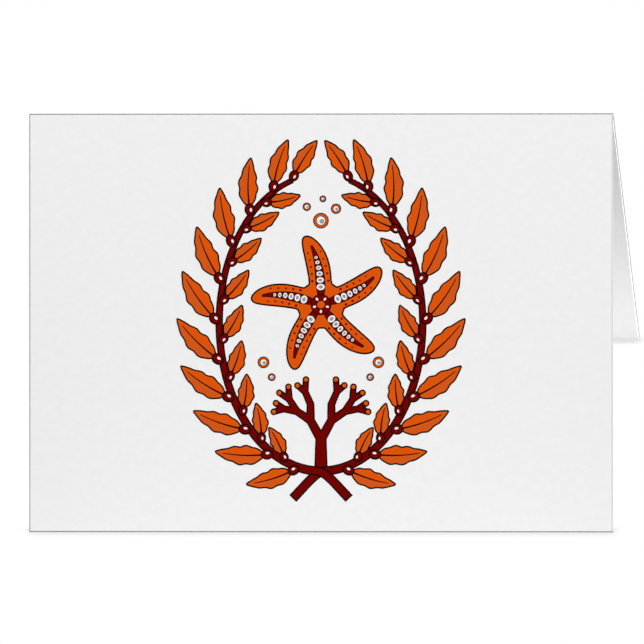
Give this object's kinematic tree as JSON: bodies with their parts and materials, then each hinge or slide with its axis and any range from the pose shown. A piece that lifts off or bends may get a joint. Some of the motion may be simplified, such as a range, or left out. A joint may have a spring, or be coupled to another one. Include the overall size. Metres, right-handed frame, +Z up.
{
  "type": "folded greeting card",
  "caption": "Landscape greeting card of white board, folded along its top edge and standing open like a tent, with a printed front.",
  "frame": {"origin": "on the table, under the middle of the card", "axes": "+X along the fold, to the right of someone who looks at the front; the front leaf faces -Y and up; +Z is up"},
  "size_m": [0.1778, 0.1226, 0.1109],
  "materials": {
    "board": "uncoated matte",
    "black_ink": "printed matte",
    "orange_ink": "printed matte",
    "rust_ink": "printed matte",
    "maroon_ink": "printed matte",
    "grey_ink": "printed matte"
  },
  "bodies": {
    "front": {"front_leaf": "board"},
    "back": {"back_leaf": "board"}
  },
  "joints": [
    {"name": "fold", "type": "hinge", "parent": "front", "child": "back", "pos_m": [0, 0, 0.1108], "axis": [1, 0, 0], "range_deg": [-57.5, 122.5]}
  ]
}
